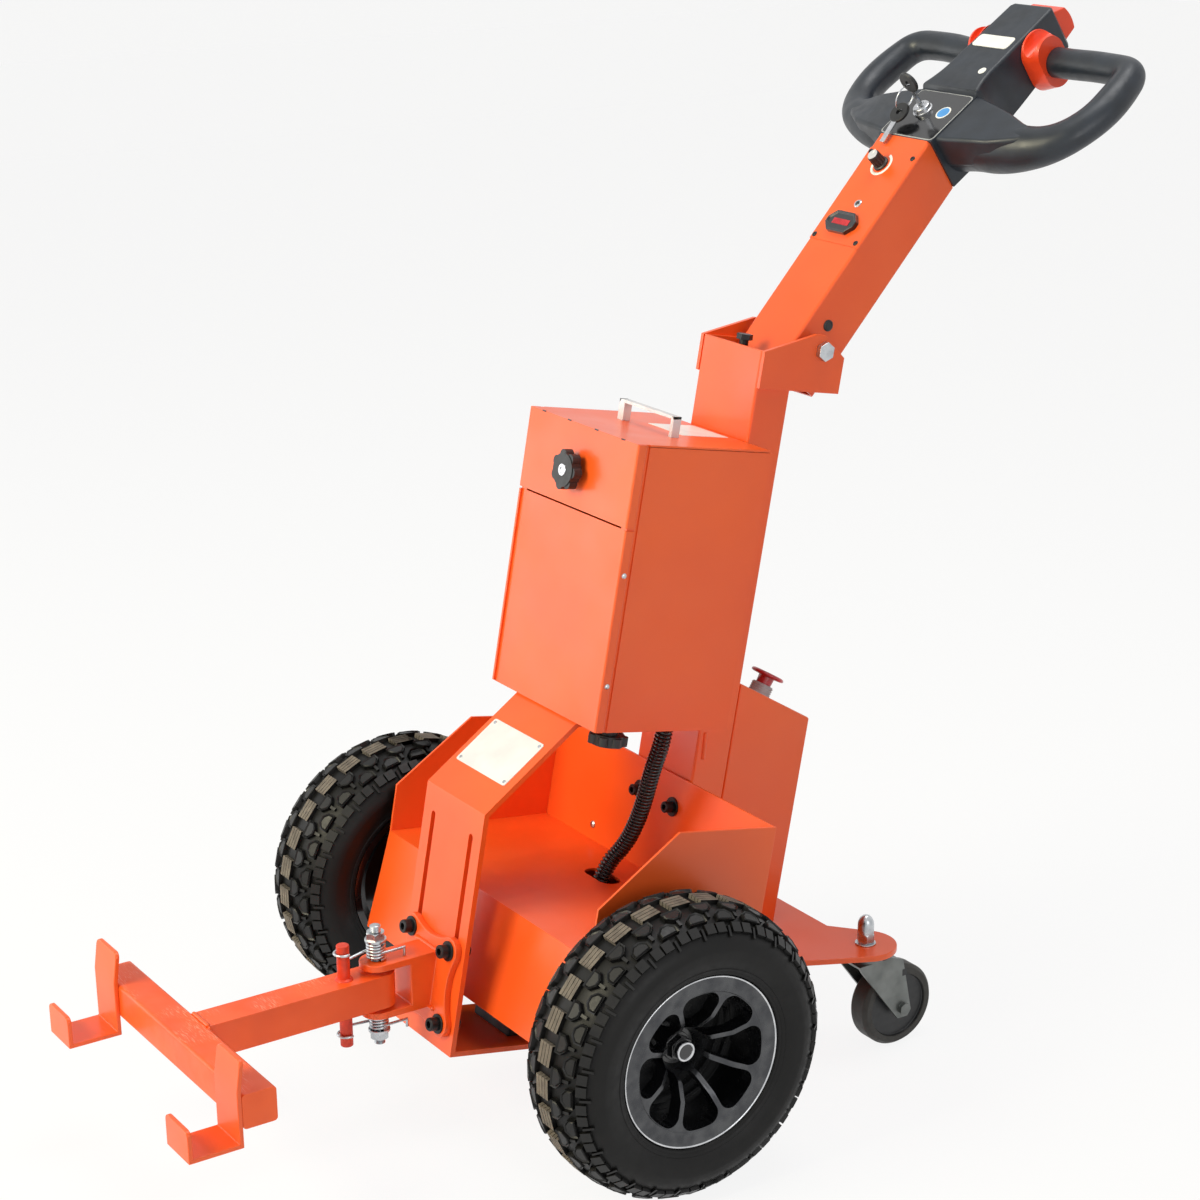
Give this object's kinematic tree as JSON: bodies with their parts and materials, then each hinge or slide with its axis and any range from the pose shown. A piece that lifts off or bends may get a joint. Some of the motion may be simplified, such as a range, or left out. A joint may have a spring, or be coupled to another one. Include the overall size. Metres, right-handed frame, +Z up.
{
  "type": "electric tow tug",
  "caption": "Pedestrian electric tow tug with driven wheels, swivel castors, upright battery box, hooked coupling bar and looped tiller head.",
  "frame": {"origin": "centre of the whole object's outline on the ground", "axes": "+Z up, +Y from the coupling bar towards the tiller, +X to the left of the direction of travel"},
  "size_m": [0.678, 1.2247, 1.1425],
  "materials": {
    "tyre": "worn",
    "rim_black": "satin",
    "steel_dark": "satin",
    "orange_paint": "gloss",
    "red_paint": "worn",
    "zinc": "satin",
    "black_bolt": "satin",
    "black_plastic": "matte",
    "castor_rubber": "matte",
    "head_rubber": "matte",
    "red_plastic": "gloss",
    "orange_plastic": "gloss"
  },
  "bodies": {
    "chassis": {"transaxle": "steel_dark", "drive_motor": "steel_dark", "side_panel_left": "orange_paint", "side_panel_right": "orange_paint", "deck": "orange_paint", "rear_wall": "orange_paint", "strap": "orange_paint", "column": "orange_paint", "tiller_bracket": "orange_paint", "rear_housing": "orange_paint", "castor_plate": "orange_paint", "battery_box": "orange_paint", "hitch_bracket": "orange_paint", "castor_stems": "zinc", "pivot_bolt": "zinc", "tiller_bolt": "zinc", "centring_springs": "zinc", "lid_hinge_pin": "zinc", "wall_bolts": "black_bolt", "bracket_bolts": "black_bolt", "stop_bolt": "black_bolt", "clamp_knob": "black_plastic", "hose": "black_plastic", "charge_socket": "black_plastic", "battery": "black_plastic", "emergency_stop": "red_plastic"},
    "wheel_left": {"tyre_left": "tyre", "rim_left": "rim_black", "half_shaft_left": "steel_dark"},
    "wheel_right": {"tyre_right": "tyre", "rim_right": "rim_black", "half_shaft_right": "steel_dark"},
    "castor_fork_left": {"castor_fork_left": "zinc"},
    "castor_fork_right": {"castor_fork_right": "zinc"},
    "castor_wheel_left": {"castor_wheel_left": "castor_rubber"},
    "castor_wheel_right": {"castor_wheel_right": "castor_rubber"},
    "coupling_bar": {"tongue_tube": "orange_paint", "cross_bar": "orange_paint", "hook_left": "orange_paint", "hook_right": "orange_paint", "anchor_pin": "red_paint"},
    "tiller": {"tiller_tube": "orange_paint", "tiller_head": "head_rubber", "throttles": "orange_plastic", "safety_button": "orange_plastic", "speed_knob": "black_plastic", "charge_gauge": "black_plastic", "key_switch": "zinc", "pivot_spacers": "zinc"},
    "box_lid": {"box_lid": "orange_paint", "lid_handle": "zinc", "lid_knob": "black_plastic"}
  },
  "joints": [
    {"name": "wheel_left_spin", "type": "hinge", "parent": "chassis", "child": "wheel_left", "pos_m": [-0.2815, -0.1124, 0.1625], "axis": [1, 0, 0], "continuous": true},
    {"name": "castor_left_swivel", "type": "hinge", "parent": "chassis", "child": "castor_fork_left", "pos_m": [-0.155, 0.2426, 0.12], "axis": [0, 0, 1], "continuous": true},
    {"name": "castor_left_roll", "type": "hinge", "parent": "castor_fork_left", "child": "castor_wheel_left", "pos_m": [-0.155, 0.2826, 0.05], "axis": [1, 0, 0], "continuous": true},
    {"name": "wheel_right_spin", "type": "hinge", "parent": "chassis", "child": "wheel_right", "pos_m": [0.2815, -0.1124, 0.1625], "axis": [1, 0, 0], "continuous": true},
    {"name": "castor_right_swivel", "type": "hinge", "parent": "chassis", "child": "castor_fork_right", "pos_m": [0.155, 0.2426, 0.12], "axis": [0, 0, 1], "continuous": true},
    {"name": "castor_right_roll", "type": "hinge", "parent": "castor_fork_right", "child": "castor_wheel_right", "pos_m": [0.155, 0.2826, 0.05], "axis": [1, 0, 0], "continuous": true},
    {"name": "coupling_swing", "type": "hinge", "parent": "chassis", "child": "coupling_bar", "pos_m": [0, -0.3064, 0.1695], "axis": [0, 0, 1], "range_deg": [-45, 45], "stiffness_Nm_per_rad": 4},
    {"name": "tiller_tilt", "type": "hinge", "parent": "chassis", "child": "tiller", "pos_m": [0, 0.23838, 0.80383], "axis": [1, 0, 0], "range_deg": [0, 14]},
    {"name": "lid_lift", "type": "hinge", "parent": "chassis", "child": "box_lid", "pos_m": [0, 0.1354, 0.71447], "axis": [-1, 0, 0], "range_deg": [0, 70]}
  ]
}
